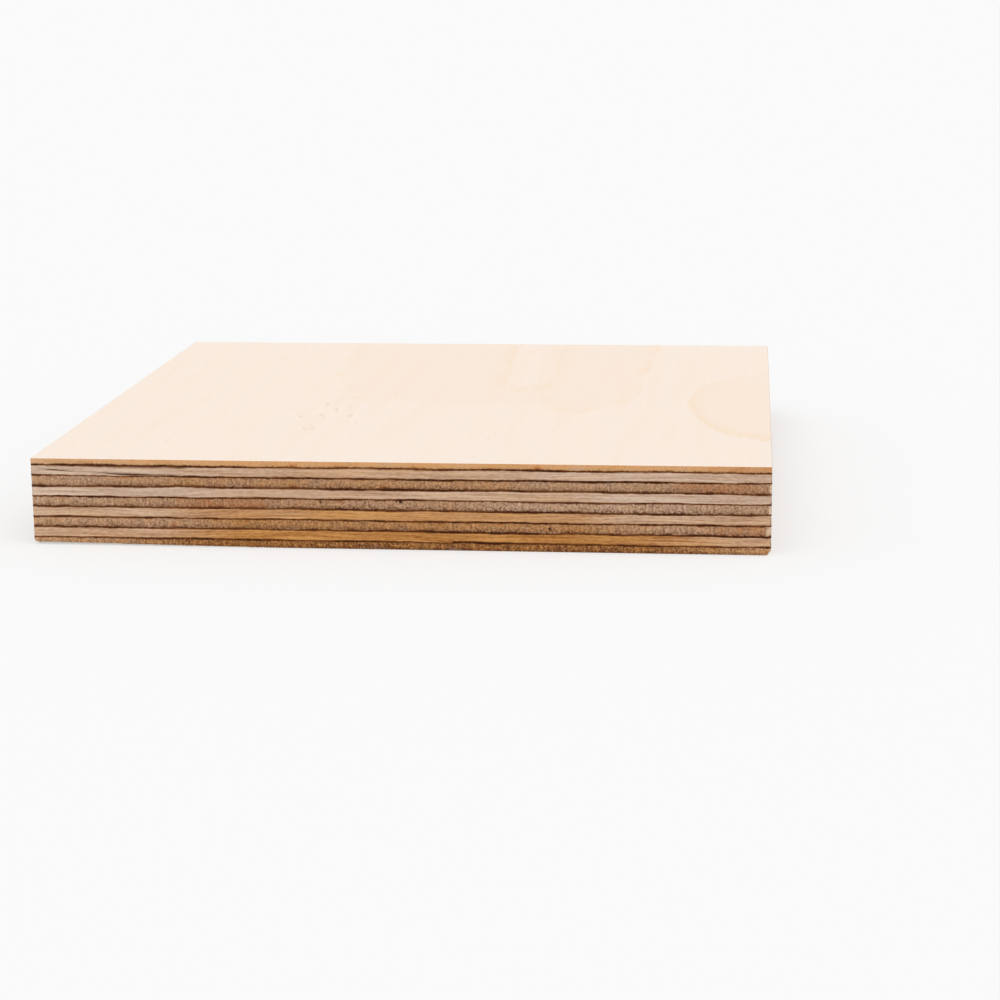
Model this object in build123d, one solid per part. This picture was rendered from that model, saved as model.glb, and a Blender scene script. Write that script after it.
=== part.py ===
"""Birch plywood sheet, sawn to a small square sample.

Thin veneers are stacked with the grain of each one square to the grain of the next, and every
pair is bonded by a film of dark resin. The face and the back are sanded after pressing, so they
are thinner than the veneers between them. The sheet lies flat: the underside of the back veneer
is at Z = 0, the middle of the sheet is on the Z axis, and the face grain runs along Y.
"""

import os

from build123d import *

# Driving dimensions, in millimetres
SHEET_LENGTH = 100.0  # along X, across the face grain
SHEET_WIDTH = 100.0  # along Y, with the face grain
FACE_VENEER = 0.76  # sanded after pressing
INNER_VENEER = 1.30  # as pressed
BACK_VENEER = 1.10  # sanded after pressing
GLUE_LINE = 0.13  # resin film, with the wood that it soaks
INNER_COUNT = 7  # veneers between the face and the back
CORNER_RADIUS = 0.25  # upright corners, eased where the saw cuts meet
ARRIS_BREAK = 0.12  # outer rims of the face and the back, broken by sanding

# Handling damage on the underside: the front arris is worn away more and more towards the left,
# and the front corners are knocked off, with a loss that reaches along the front, runs back along
# the side and rises up the upright corner
ARRIS_WEAR_HEIGHT = 0.45
ARRIS_WEAR_DEPTH = 1.20
LEFT_KNOCK_REACH = 0.60
LEFT_KNOCK_RUN = 3.50
LEFT_KNOCK_RISE = 0.80
RIGHT_KNOCK_REACH = 0.65
RIGHT_KNOCK_RUN = 3.00
RIGHT_KNOCK_RISE = 1.05


def blank(bottom, thickness):
    """A veneer or glue film as the saw leaves it, with its underside at the given height."""
    outline = RectangleRounded(SHEET_LENGTH, SHEET_WIDTH, CORNER_RADIUS)
    return extrude(Pos(0, 0, bottom) * outline, thickness)


def lay_up():
    """Every layer of the sheet by name, laid from the back veneer upwards."""
    veneer_count = INNER_COUNT + 2
    layers = {}
    height = 0.0
    for ply in range(veneer_count, 0, -1):
        if ply == veneer_count:
            name, thickness = "back_veneer", BACK_VENEER
        elif ply == 1:
            name, thickness = "face_veneer", FACE_VENEER
        else:
            grain = "long" if ply % 2 else "cross"
            name, thickness = f"{grain}_veneer_{ply}", INNER_VENEER
        layers[name] = blank(height, thickness)
        height += thickness
        if ply > 1:
            layers[f"glue_line_{ply - 1}"] = blank(height, GLUE_LINE)
            height += GLUE_LINE
    return layers


def break_off(veneer, a, b, c):
    """The veneer without what lies beyond the plane through three points of its edges."""
    plane = Plane(origin=a, x_dir=b - a, z_dir=(b - a).cross(c - a))
    above = plane.to_local_coords(veneer.center()).Z > 0
    return split(veneer, bisect_by=plane, keep=Keep.TOP if above else Keep.BOTTOM)


def knock_corner(veneer, corner, reach, run, rise):
    """The veneer without its lower corner, lost along the front, the side and the upright corner."""
    along_front = corner + Vector(-reach if corner.X > 0 else reach, 0, 0)
    along_side = corner + Vector(0, run, 0)
    up_corner = corner + Vector(0, 0, rise)
    return break_off(veneer, along_front, along_side, up_corner)


def wear_front_arris(veneer, left, right):
    """The veneer without a sliver along its lower front arris, from nothing at the right end."""
    up_corner = left + Vector(0, 0, ARRIS_WEAR_HEIGHT)
    along_side = left + Vector(0, ARRIS_WEAR_DEPTH, 0)
    return break_off(veneer, right, up_corner, along_side)


def sanded_face(veneer):
    """The face veneer with its upper rim broken."""
    return chamfer(veneer.faces().sort_by(Axis.Z)[-1].edges(), ARRIS_BREAK)


def worn_back(veneer):
    """The back veneer with its lower rim broken, its front arris worn and its front corners knocked off."""
    left = Vector(-SHEET_LENGTH / 2, -SHEET_WIDTH / 2, 0)
    right = Vector(SHEET_LENGTH / 2, -SHEET_WIDTH / 2, 0)
    veneer = chamfer(veneer.faces().sort_by(Axis.Z)[0].edges(), ARRIS_BREAK)
    veneer = wear_front_arris(veneer, left, right)
    veneer = knock_corner(veneer, left, LEFT_KNOCK_REACH, LEFT_KNOCK_RUN, LEFT_KNOCK_RISE)
    return knock_corner(veneer, right, RIGHT_KNOCK_REACH, RIGHT_KNOCK_RUN, RIGHT_KNOCK_RISE)


sheet = lay_up()
sheet["face_veneer"] = sanded_face(sheet["face_veneer"])
sheet["back_veneer"] = worn_back(sheet["back_veneer"])

os.makedirs("parts", exist_ok=True)
for node, layer in sheet.items():
    export_step(layer, f"parts/{node}.step")
    box = layer.bounding_box()
    print(f"{node}: z {box.min.Z:.2f} to {box.max.Z:.2f} mm, {layer.volume:.1f} mm3")
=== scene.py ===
# %% [markdown]
# # A birch plywood sheet
# Plywood is a pile of thin veneers, peeled from a log as paper is pulled off a roll, and pressed hot with a
# film of dark resin between each pair. The grain of every veneer lies square to the grain of the next one,
# so a sawn edge shows end grain and long grain by turns, with a dark glue line at each joint.
#
# The frame holds that pile as plain flat layers. In this lesson every layer is modelled again as a fine
# mesh, pressed into gentle waves together with its neighbours, sawn rough, worn, and given its own wood.
# Lengths are written in millimetres, and MM turns them into Blender's metres.

# %% Load the frame
import math
from collections import namedtuple

import bmesh
import bpy
from mathutils import Matrix, Vector


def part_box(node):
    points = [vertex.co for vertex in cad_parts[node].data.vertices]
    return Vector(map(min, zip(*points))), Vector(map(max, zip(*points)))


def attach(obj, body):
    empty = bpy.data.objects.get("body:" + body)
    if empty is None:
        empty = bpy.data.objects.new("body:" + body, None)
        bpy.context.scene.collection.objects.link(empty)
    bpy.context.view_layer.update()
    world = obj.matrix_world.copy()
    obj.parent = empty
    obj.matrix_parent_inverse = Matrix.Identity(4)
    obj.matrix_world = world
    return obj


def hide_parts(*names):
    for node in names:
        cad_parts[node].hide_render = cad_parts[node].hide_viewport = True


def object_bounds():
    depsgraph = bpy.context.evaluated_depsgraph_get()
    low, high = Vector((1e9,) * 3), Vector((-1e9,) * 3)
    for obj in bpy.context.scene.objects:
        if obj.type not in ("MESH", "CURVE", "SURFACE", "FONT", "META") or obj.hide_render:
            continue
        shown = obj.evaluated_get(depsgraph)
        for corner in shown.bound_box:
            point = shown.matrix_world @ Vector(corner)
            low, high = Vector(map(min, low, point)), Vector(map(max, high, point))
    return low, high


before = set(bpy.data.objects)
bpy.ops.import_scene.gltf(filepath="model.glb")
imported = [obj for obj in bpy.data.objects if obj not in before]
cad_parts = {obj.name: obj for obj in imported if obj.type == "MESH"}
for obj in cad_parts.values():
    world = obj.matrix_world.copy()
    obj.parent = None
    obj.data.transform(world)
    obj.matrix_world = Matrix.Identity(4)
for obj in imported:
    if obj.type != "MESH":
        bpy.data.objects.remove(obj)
cad_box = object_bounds()
MM = 0.001
print("CAD box in mm:", [[round(value / MM, 2) for value in corner] for corner in cad_box])

# %% [markdown]
# ## The layers
# The layers are read off the frame, from the bottom up. Veneers are counted from the face, as a mill does.
# Odd veneers have their grain along Y and even ones along X, so the front edge cuts the odd ones across.
# Each glue line is remembered by the height of its middle, because both of its skins wave together.

# %% Read the layers
Layer = namedtuple("Layer", "name bottom top ply is_glue")
in_order = sorted(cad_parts, key=lambda name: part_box(name)[0].z)
VENEER_COUNT = (len(in_order) + 1) // 2
layers = []
for place, name in enumerate(in_order):
    low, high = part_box(name)
    ply = VENEER_COUNT - place // 2 - place % 2
    layers.append(Layer(name, low.z / MM, high.z / MM, ply, place % 2 == 1))
SIDE = (cad_box[1].x - cad_box[0].x) / MM
HALF = SIDE / 2
for layer in layers:
    print(f"{layer.name}: {layer.bottom:.2f} to {layer.top:.2f} mm, veneer {layer.ply}")

# %% [markdown]
# ## The camera
# The photograph looks down on the sheet by about 13 degrees and a little from the right. The lens, the
# distance and a slight roll were worked out from the six corners that show, so the render can be laid over
# the photograph. A long lens from near by keeps the same convergence of the two side edges.

# %% Set up the camera
PHOTO_SIDE = 1000
FOCAL_PIXELS = 2412.0
SENSOR_WIDTH = 36.0
AZIMUTH = math.radians(5.94)
ELEVATION = math.radians(12.78)
ROLL = math.radians(-0.54)
DISTANCE = 326.0
TARGET = Vector((13.5, -45.3, 6.0))
CLIP_START = 10.0

level = math.cos(ELEVATION)
back = Vector((math.sin(AZIMUTH) * level, -math.cos(AZIMUTH) * level, math.sin(ELEVATION)))
right = Vector((math.cos(AZIMUTH), math.sin(AZIMUTH), 0))
up = back.cross(right)
rolled_right = right * math.cos(ROLL) + up * math.sin(ROLL)
rolled_up = up * math.cos(ROLL) - right * math.sin(ROLL)

bpy.ops.object.select_all(action="DESELECT")
bpy.ops.object.camera_add()
camera = bpy.context.object
camera.data.sensor_width = SENSOR_WIDTH
camera.data.lens = SENSOR_WIDTH * FOCAL_PIXELS / PHOTO_SIDE
camera.data.clip_start = CLIP_START * MM
turn = Matrix((rolled_right, rolled_up, back)).transposed().to_4x4()
camera.matrix_world = Matrix.Translation((TARGET + back * DISTANCE) * MM) @ turn
bpy.context.scene.camera = camera
print("lens", round(camera.data.lens, 1), "mm")

# %% [markdown]
# ## One blank for every layer
# A layer is a thin square plate, but only its four sawn edges are seen close to. A grid all over would waste
# its faces in the dark inside the pile. So the outline is divided finely, drawn up into a wall and turned in
# a little at top and bottom, and there the gap to a coarse grid is filled, which closes the plate.
#
# One blank is modelled for the veneers and one, with fewer rows, for the glue lines, both one millimetre
# thick. They are copied for each layer and stretched to its thickness. All copies share the same points in
# plan, so neighbours will still meet after they are bent.

# %% Selecting by place
CLOSE = 0.01


def only(piece):
    """Makes a piece the only selected object, in object mode."""
    if bpy.context.object and bpy.context.object.mode != "OBJECT":
        bpy.ops.object.mode_set(mode="OBJECT")
    bpy.ops.object.select_all(action="DESELECT")
    piece.select_set(True)
    bpy.context.view_layer.objects.active = piece


def pick(test):
    """Selects, in edit mode, the vertices whose place passes a test, and the edges between them."""
    bpy.ops.mesh.select_all(action="DESELECT")
    mesh = bpy.context.object.data
    points = bmesh.from_edit_mesh(mesh)
    for vertex in points.verts:
        if test(vertex.co):
            vertex.select_set(True)
    points.select_flush_mode()
    bmesh.update_edit_mesh(mesh)


def near(value, wanted):
    """True within a hundredth of a millimetre."""
    return abs(value - wanted) < CLOSE * MM


print("points count as in one place within", CLOSE, "mm")

# %% Model the outline of the sheet
CORNER_RADIUS = 0.25
CORNER_SEGMENTS = 3
FIRST_CUTS = 99
SECOND_CUTS = 5


def draw_outline():
    """A wire square with eased corners, whose straight sides are finely divided."""
    bpy.ops.object.select_all(action="DESELECT")
    bpy.ops.mesh.primitive_plane_add(size=SIDE * MM)
    bpy.ops.object.mode_set(mode="EDIT")
    bpy.ops.mesh.select_mode(type="VERT")
    bpy.ops.mesh.select_all(action="SELECT")
    bpy.ops.mesh.delete(type="ONLY_FACE")
    bpy.ops.mesh.select_all(action="SELECT")
    bpy.ops.mesh.bevel(offset=CORNER_RADIUS * MM, segments=CORNER_SEGMENTS, affect="VERTICES")
    for axis in (0, 1):
        for side in (-HALF * MM, HALF * MM):
            pick(lambda place: near(place[axis], side))
            bpy.ops.mesh.subdivide(number_cuts=FIRST_CUTS)
            pick(lambda place: near(place[axis], side))
            bpy.ops.mesh.subdivide(number_cuts=SECOND_CUTS)
    return bpy.context.object


print("each side is cut into", (FIRST_CUTS + 1) * (SECOND_CUTS + 1), "edges")

# %% Raise the wall and close the plate
RING_INSETS = (0.45, 1.5)
GRID_GAP = 1.5
COARSE_CELLS = 32


def turn_in(height):
    """Draws rings of faces inwards from the rim at a height, and fills the gap to a coarse grid."""
    pick(lambda place: near(place.z, height))
    reached = HALF
    for inset in RING_INSETS:
        share = (HALF - inset) / reached
        bpy.ops.mesh.extrude_edges_move()
        bpy.ops.transform.resize(value=(share, share, 1), center_override=(0, 0, height))
        reached = HALF - inset
    ring = reached * MM
    grid = (reached - GRID_GAP) * MM
    bpy.ops.mesh.primitive_grid_add(
        x_subdivisions=COARSE_CELLS, y_subdivisions=COARSE_CELLS, size=2 * grid, location=(0, 0, height))

    def beside_gap(place):
        reach = max(abs(place.x), abs(place.y))
        on_ring = ring - CORNER_RADIUS * MM < reach < ring + CLOSE * MM
        return near(place.z, height) and (on_ring or near(reach, grid))

    pick(beside_gap)
    bpy.ops.mesh.fill(use_beauty=True)


def model_blank(name, rows):
    """A closed plate one millimetre thick, with its wall in rows, standing on the floor."""
    blank = draw_outline()
    blank.name = name
    bpy.ops.mesh.select_all(action="SELECT")
    for row in range(rows):
        bpy.ops.mesh.extrude_edges_move(TRANSFORM_OT_translate={"value": (0, 0, MM / rows)})
    turn_in(MM)
    turn_in(0.0)
    bpy.ops.mesh.select_all(action="SELECT")
    bpy.ops.mesh.normals_make_consistent(inside=False)
    bpy.ops.object.mode_set(mode="OBJECT")
    return blank


VENEER_ROWS = 8
GLUE_ROWS = 2
veneer_blank = model_blank("veneer_blank", VENEER_ROWS)
glue_blank = model_blank("glue_blank", GLUE_ROWS)
for blank in (veneer_blank, glue_blank):
    print(blank.name, len(blank.data.polygons), "faces")

# %% [markdown]
# ## Formulas as nodes
# Blender's nodes are formulas drawn as boxes. The bending, the sawing and the wood all need some, so a small
# helper lets a formula be written as one line: a Field stands for the output of a node, and adding or
# multiplying Fields adds the Math nodes to the same tree. It serves geometry and shader trees alike.

# %% A field that can be reckoned with
def feed(slot, value):
    """Links a field to an input, or sets the input to a plain value."""
    if isinstance(value, Field):
        value.tree.links.new(value.socket, slot)
    else:
        slot.default_value = value


def reckon(operation, *values):
    """The result of a Math node on fields and numbers."""
    tree = next(value.tree for value in values if isinstance(value, Field))
    node = tree.nodes.new("ShaderNodeMath")
    node.operation = operation
    for slot, value in zip(node.inputs, values):
        feed(slot, value)
    return Field(node.outputs[0])


class Field:
    """What a node puts out, with the arithmetic of plain numbers."""

    def __init__(self, socket):
        self.socket = socket
        self.tree = socket.id_data

    def __add__(self, other):
        return reckon("ADD", self, other)

    def __sub__(self, other):
        return reckon("SUBTRACT", self, other)

    def __rsub__(self, other):
        return reckon("SUBTRACT", other, self)

    def __mul__(self, other):
        return reckon("MULTIPLY", self, other)

    def __truediv__(self, other):
        return reckon("DIVIDE", self, other)

    def __abs__(self):
        return reckon("ABSOLUTE", self)

    __radd__ = __add__
    __rmul__ = __mul__


print("fields can be added, subtracted, multiplied and divided, also with plain numbers")

# %% Ramps, mixes and noise
NOISE_REACH = 1.7


def ramp(value, low, high):
    """Rises smoothly from 0 at low to 1 at high, or falls if low is the larger."""
    node = value.tree.nodes.new("ShaderNodeMapRange")
    node.interpolation_type = "SMOOTHSTEP"
    feed(node.inputs["Value"], value)
    feed(node.inputs["From Min"], low)
    feed(node.inputs["From Max"], high)
    return Field(node.outputs[0])


def between(share, first, second):
    """The first value where the share is 0 and the second where it is 1."""
    return first + (second - first) * share


def vector(tree, parts):
    """Three fields or numbers as one vector socket."""
    node = tree.nodes.new("ShaderNodeCombineXYZ")
    for slot, value in zip(node.inputs, parts):
        feed(slot, value)
    return Field(node.outputs[0])


def noise(x, y, z, detail=2.0):
    """Cloudy noise from about -1 to 1, with one cloud to each unit of its three coordinates."""
    node = x.tree.nodes.new("ShaderNodeTexNoise")
    feed(node.inputs["Vector"], vector(x.tree, (x, y, z)))
    node.inputs["Scale"].default_value = 1.0
    node.inputs["Detail"].default_value = detail
    return Field(node.outputs[0]) * (2 * NOISE_REACH) - NOISE_REACH


def level_noise(x, y, z, level, upright):
    """Noise with as many clouds to a millimetre over the sheet and up through it as are given."""
    return noise(x * level, y * level, z * upright)


print("noise never leaves", -NOISE_REACH, "to", NOISE_REACH)

# %% [markdown]
# A formula that serves more than once is kept as a node group, whose inputs and outputs have names. A group
# that bends a mesh can also leave numbers on its points, for a later group or a material to read.

# %% Groups with named sockets
FLOAT = "NodeSocketFloat"
VECTOR = "NodeSocketVector"
GEOMETRY = "NodeSocketGeometry"


def new_group(title, kind, inputs, outputs):
    """An empty node group, with its inputs as fields by name and the sockets of its outputs by name."""
    tree = bpy.data.node_groups.new(title, kind)
    for label, socket_type in inputs.items():
        tree.interface.new_socket(name=label, in_out="INPUT", socket_type=socket_type)
    for label, socket_type in outputs.items():
        tree.interface.new_socket(name=label, in_out="OUTPUT", socket_type=socket_type)
    given = tree.nodes.new("NodeGroupInput").outputs
    result = tree.nodes.new("NodeGroupOutput").inputs
    return tree, {label: Field(given[label]) for label in inputs}, {label: result[label] for label in outputs}


def place_in_millimetres(tree):
    """The X, Y and Z of the point being bent, in millimetres."""
    node = tree.nodes.new("ShaderNodeSeparateXYZ")
    tree.links.new(tree.nodes.new("GeometryNodeInputPosition").outputs[0], node.inputs[0])
    return [Field(part) / MM for part in node.outputs]


def remember(geometry, label, value, domain="POINT"):
    """Writes a field to the mesh as a named attribute, for later steps and for the materials."""
    node = geometry.tree.nodes.new("GeometryNodeStoreNamedAttribute")
    node.data_type = "FLOAT"
    node.domain = domain
    feed(node.inputs["Geometry"], geometry)
    node.inputs["Name"].default_value = label
    feed(node.inputs["Value"], value)
    return Field(node.outputs[0])


def recall(tree, label):
    """Reads a named attribute of the mesh in a geometry tree."""
    node = tree.nodes.new("GeometryNodeInputNamedAttribute")
    node.data_type = "FLOAT"
    node.inputs["Name"].default_value = label
    return Field(node.outputs[0])


def shift(geometry, x, y, z):
    """Moves every point of a mesh by fields in millimetres."""
    node = geometry.tree.nodes.new("GeometryNodeSetPosition")
    feed(node.inputs["Geometry"], geometry)
    feed(node.inputs["Offset"], vector(geometry.tree, [part * MM for part in (x, y, z)]))
    return Field(node.outputs[0])


def work(piece, group, **values):
    """Runs a geometry group on a piece with its own values, as a modifier that is applied at once."""
    only(piece)
    modifier = piece.modifiers.new(group.name, "NODES")
    modifier.node_group = group
    for socket in group.interface.items_tree:
        key = socket.name.replace(" ", "_").lower()
        if socket.in_out == "INPUT" and key in values:
            modifier[socket.identifier] = values[key]
    bpy.ops.object.modifier_apply(modifier=modifier.name)


print("sockets for groups:", FLOAT, VECTOR, GEOMETRY)

# %% [markdown]
# ## The hot press
# In the press the soft veneers give way to each other. A glue line therefore wanders up and down by a tenth
# of a millimetre or two, in long lazy waves with small ripples on them, and its film is squeezed thin here
# and left thick there. The veneers show the same waves, because they are what the film is pressed between.
#
# Bending every layer by hand would leave gaps. Instead one formula gives the height of a glue line's two
# skins at any place, and each layer is bent to the skins below and above it, so that all layers still meet.

# %% How a glue line wanders
SPLINTER_GLUE = next((layer.bottom + layer.top) / 2 for layer in layers if layer.name == "glue_line_8")
SPLINTER_START = -0.3
SPLINTER_END = 7.5
SPLINTER_FADE = 24.0
SPLINTER_LIFT = 0.075
SPLINTER_DEPTH = (4.0, 0.1)
SAME_GLUE = (0.3, 0.1)
WAVES = ((13.0, 0.10), (3.2, 0.055), (0.7, 0.035))
SWELLS = ((14.0, 0.05), (4.5, 0.045), (0.6, 0.03))
GLUE_SEED = 5
SWELL_SEED = 120
RIPPLE_SEED = 40
SPARE_FILM = 0.005
THINNEST_FILM = -0.04
SAG = 0.07


def in_front(y, deepest, full):
    """1 at the front edge down to a full depth, falling to 0 at the deepest, in millimetres."""
    return ramp(y, deepest - HALF, full - HALF)


def splinter(x, y, glue):
    """A sliver of veneer that lies in one glue line at the front edge and ends in a sharp step."""
    sinks = ramp(x, SPLINTER_START, SPLINTER_END) * -1.0
    rises = ramp(x, SPLINTER_FADE, SPLINTER_END)
    step = between(reckon("GREATER_THAN", x, SPLINTER_END), sinks, rises)
    here = ramp(abs(glue - SPLINTER_GLUE), *SAME_GLUE) * in_front(y, *SPLINTER_DEPTH)
    return step * here * SPLINTER_LIFT


def ripples(x, y, seed, sizes):
    """Noises added up, each with its length and height in millimetres."""
    total = 0.0
    for place, (length, height) in enumerate(sizes):
        total = total + noise(x / length, y / length, seed + RIPPLE_SEED * place) * height
    return total


def film_swell(x, y, glue):
    """How much half of a glue line's film is thicker than its flat place, in millimetres."""
    swell = ripples(x, y, glue * GLUE_SEED + SWELL_SEED, SWELLS) + splinter(x, y, glue) + SPARE_FILM
    return reckon("MAXIMUM", swell, THINNEST_FILM)


def skin(x, y, glue, side):
    """How far a glue line's upper skin, side 1, or lower skin, side -1, lies from its flat place."""
    wander = ripples(x, y, glue * GLUE_SEED, WAVES) + splinter(x, y, glue) - SAG
    return wander + side * film_swell(x, y, glue)


print("waves of", [length for length, height in WAVES], "mm")
print(f"splinter in the glue line at {SPLINTER_GLUE:.2f} mm")

# %% [markdown]
# ## The saw
# A saw leaves the two kinds of grain differently. Across the grain it breaks the fibres off, so end grain is
# pitted and hairy, with lines that run through the veneer from skin to skin. Along the grain it shaves them,
# and leaves fine streaks. The relief only ever goes inwards, so the sheet keeps its size, and it fades out
# just inside the rim, so that the flat skins aren't folded. Each kind of mark has its own noise: how many to
# a millimetre along the edge, how many up the edge, and a seed.

# %% Relief of sawn edges
PIT_NOISE = (3.1, 3.1, 0)
PIT_SHARE = (0.35, 1.1)
PIT_DEPTH = 0.10
HAIR_NOISE = (4.3, 0.7, 11)
HAIR_HOLLOW_NOISE = (1 / 2.3, 1 / 0.9, 17)
HAIR_DEPTH = 0.025
HAIR_MEAN = 1.2
STREAK_NOISE = (0.16, 4.2, 23)
STREAK_HOLLOW_NOISE = (1 / 6, 1 / 0.8, 29)
STREAK_DEPTH = 0.018
STREAK_MEAN = 1.0
SIDE_SEED = 3


def saw_noise(along, z, side, by_length, by_height, seed):
    """The noise of one kind of mark on one edge of the sheet."""
    return noise(along * by_length, z * by_height, side * SIDE_SEED + seed)


def end_grain_relief(along, z, side):
    """Depth of the pits, hairs and hollows that the saw leaves in cut-off fibres, in millimetres."""
    pits = ramp(saw_noise(along, z, side, *PIT_NOISE), *PIT_SHARE) * PIT_DEPTH
    hairs = (saw_noise(along, z, side, *HAIR_NOISE) + HAIR_MEAN) * HAIR_DEPTH
    hollows = (saw_noise(along, z, side, *HAIR_HOLLOW_NOISE) + HAIR_MEAN) * HAIR_DEPTH
    return reckon("MAXIMUM", pits + hairs + hollows, 0.0)


def long_grain_relief(along, z, side):
    """Depth of the streaks and hollows that the saw leaves along the fibres, in millimetres."""
    streaks = (saw_noise(along, z, side, *STREAK_NOISE) + STREAK_MEAN) * STREAK_DEPTH
    hollows = (saw_noise(along, z, side, *STREAK_HOLLOW_NOISE) + STREAK_MEAN) * STREAK_DEPTH
    return reckon("MAXIMUM", streaks + hollows, 0.0)


def sawn(along, z, side, end_grain):
    """The relief of one edge, by the share of end grain in it."""
    return between(end_grain, long_grain_relief(along, z, side), end_grain_relief(along, z, side))


print("saw marks: pits of", PIT_DEPTH, "mm, hairs of", HAIR_DEPTH, "mm, streaks of", STREAK_DEPTH, "mm")

# %% Press and saw a layer
RIM_WIDTH = 1.4
FULL_SHADE_RELIEF = 0.16
LEFT_RIGHT_SEED = 0.5


def press_and_saw_group():
    """The geometry group that bends a flat layer to its glue lines and roughens its four edges."""
    inputs = {"Sheet": GEOMETRY, "Bottom": FLOAT, "Top": FLOAT, "Glue Below": FLOAT, "Glue Above": FLOAT,
              "Bends Below": FLOAT, "Bends Above": FLOAT, "Skin Below": FLOAT, "Skin Above": FLOAT,
              "Front End Grain": FLOAT, "Roughness": FLOAT}
    tree, given, result = new_group("press and saw", "GeometryNodeTree", inputs, {"Sheet": GEOMETRY})
    x, y, z = place_in_millimetres(tree)
    height = (z - given["Bottom"]) / (given["Top"] - given["Bottom"])
    below = skin(x, y, given["Glue Below"], given["Skin Below"]) * given["Bends Below"]
    above = skin(x, y, given["Glue Above"], given["Skin Above"]) * given["Bends Above"]
    lift = between(height, below, above)

    left_or_right = reckon("SIGN", x)
    front_or_rear = reckon("SIGN", y)
    end_at_front = given["Front End Grain"]
    front_depth = sawn(x, z, front_or_rear, end_at_front) * given["Roughness"]
    side_depth = sawn(y, z, left_or_right + LEFT_RIGHT_SEED, 1.0 - end_at_front) * given["Roughness"]
    front_share = ramp(HALF - abs(y), RIM_WIDTH, 0.0)
    side_share = ramp(HALF - abs(x), RIM_WIDTH, 0.0)
    push_y = front_depth * front_share
    push_x = side_depth * side_share

    normal = tree.nodes.new("ShaderNodeSeparateXYZ")
    tree.links.new(tree.nodes.new("GeometryNodeInputNormal").outputs[0], normal.inputs[0])
    faces_front = reckon("GREATER_THAN", abs(Field(normal.outputs[1])), abs(Field(normal.outputs[0])))
    end_grain = between(faces_front, 1.0 - end_at_front, end_at_front)

    sheet = remember(given["Sheet"], "ply_height", height)
    sheet = remember(sheet, "end_grain", end_grain, "FACE")
    # The depth of the saw relief is kept for the materials as painted shade in the hollows.
    sheet = remember(sheet, "hollow", reckon("MAXIMUM", push_x, push_y) / FULL_SHADE_RELIEF)
    sheet = remember(sheet, "torn", 0.0)
    sheet = remember(sheet, "film", film_swell(x, y, given["Glue Above"]))
    sheet = shift(sheet, left_or_right * push_x * -1.0, front_or_rear * push_y * -1.0, lift)
    feed(result["Sheet"], sheet)
    return tree


press_and_saw = press_and_saw_group()
print("press and saw:", len(press_and_saw.nodes), "nodes")

# %% [markdown]
# ## Knocks, a crack and pits
# The sample has been handled. The front arris of its underside is rubbed away near the left end, the lower
# corners are knocked off, and some veneers have lost their upright corners to the saw, most of all at the
# right end. A boolean cut would leave one clean flat face there. Instead the points that lie beyond a plane
# are pushed back onto it, with noise added to the plane, so that the break is ragged as torn wood is.

# %% Knock off a corner
TORN_DEPTH = 0.06
TORN_FIBRES = (2.2, 5.5)
RAGGED_REACH = (-0.3, 0.1)
SHEET_THICKNESS = layers[-1].top


def knock_group():
    """Pushes what lies beyond a plane back onto it, raggedly, and marks it as torn."""
    inputs = {"Sheet": GEOMETRY, "Point": VECTOR, "Outward": VECTOR, "Ragged": FLOAT}
    tree, given, result = new_group("knock off", "GeometryNodeTree", inputs, {"Sheet": GEOMETRY})
    x, y, z = place_in_millimetres(tree)
    parts = []
    for label in ("Point", "Outward"):
        node = tree.nodes.new("ShaderNodeSeparateXYZ")
        feed(node.inputs[0], given[label])
        parts.append([Field(part) for part in node.outputs])
    point, outward = parts
    beyond = (x - point[0]) * outward[0] + (y - point[1]) * outward[1] + (z - point[2]) * outward[2]
    fibres = level_noise(x, y, z, *TORN_FIBRES) * given["Ragged"]
    cut = reckon("MAXIMUM", beyond + fibres * ramp(beyond, *RAGGED_REACH), 0.0)
    torn = reckon("MAXIMUM", recall(tree, "torn"), ramp(cut, 0.0, TORN_DEPTH))
    sheet = remember(given["Sheet"], "torn", torn)
    feed(result["Sheet"], shift(sheet, *[part * cut * -1.0 for part in outward]))
    return tree


knock_off = knock_group()


def knock(piece, a, b, c, ragged):
    """Breaks off what lies beyond the plane through three points, seen from the middle of the sheet."""
    a, b, c = Vector(a), Vector(b), Vector(c)
    outward = (b - a).cross(c - a).normalized()
    if outward.dot(a - Vector((0, 0, SHEET_THICKNESS / 2))) < 0:
        outward.negate()
    work(piece, knock_off, point=a, outward=outward, ragged=ragged)


print("knock off:", len(knock_off.nodes), "nodes")

# %% [markdown]
# The second veneer is split near its left end: a thin dark line that opens, almost closes and then runs down
# into the glue line. A crack is thinner than the rows of the wall, so three rows are drawn together along
# its line, and the middle one is pushed deep into the wood and darkened with painted shade by its depth. The
# wood beside it has browned. Heights within the veneer go from 0 at its lower skin to 1 at its upper one.

# %% Split a veneer
CRACK_START = (-49.6, -48.8)
CRACK_END = (-28.0, -29.5)
CRACK_REACH = (1.0, 0.3)
CRACK_FOOT = -34.6
CRACK_SLOPE = -0.0385
FOOT_HEIGHT = 0.03
LEAST_HEIGHT = 0.05
LONG_WOBBLE = (1.1, 0.03, 3.0)
SHORT_WOBBLE = (0.35, 0.016, 9.0)
FIRST_OPENING = (-48.9, -46.7, -42.9)
SECOND_OPENING = (-42.4, -36.4, -28.6)
OPENINGS = (0.6, 0.8)
CRACK_DEPTH = 0.26
LEAST_OPENING = 0.15
HAIR_WIDTH = 0.02
OPEN_WIDTH = 0.058
ROWS_BESIDE = 1 / VENEER_ROWS
BROWN_REACH = 2.5 * ROWS_BESIDE
BROWN_LEAST = 0.25
BROWN_SHARE = 1.4
SHADE_PER_CRACK_DEPTH = 12


def opening(x, start, widest, end):
    """Rises from 0 at the start to 1 at the widest place and falls to 0 at the end."""
    return ramp(x, start, widest) * ramp(x, end, widest)


def wobble(x, length, height, seed):
    """A line that runs unevenly up and down along X."""
    return noise(x / length, 0.0, seed) * height


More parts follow.
